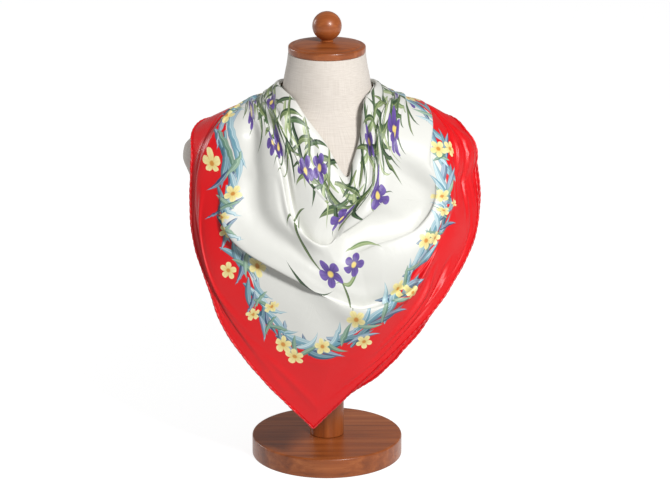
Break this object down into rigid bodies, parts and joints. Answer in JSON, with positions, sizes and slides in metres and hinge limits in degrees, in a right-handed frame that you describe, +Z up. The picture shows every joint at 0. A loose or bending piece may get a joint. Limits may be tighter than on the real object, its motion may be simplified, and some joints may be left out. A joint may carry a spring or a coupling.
{
  "type": "silk square scarf on a limbless dress form",
  "caption": "Silk square folded corner to corner, draped in cowl folds round a linen dress form and tied behind, on a turned wooden base, post, neck cap and ball.",
  "frame": {"origin": "middle of the wooden base's underside, on the surface the form stands on", "axes": "+Z up along the post, -Y the front of the form, +X the viewer's right"},
  "size_m": [0.4119, 0.2848, 0.6431],
  "materials": {
    "wood": "satin varnish over brown hardwood",
    "linen": "fine plain-weave linen, matt",
    "silk_print": "printed silk twill with a soft sheen",
    "silk_red": "red silk twill with a soft sheen"
  },
  "bodies": {
    "root": {"base_disc": "wood", "post": "wood", "dress_form": "linen", "neck_cap": "wood", "ball_finial": "wood", "scarf_front": "silk_print", "scarf_back_left": "silk_print", "scarf_back_right": "silk_print", "under_leaf": "silk_red", "knot": "silk_red", "tail_left": "silk_red", "tail_right": "silk_red"}
  },
  "joints": []
}
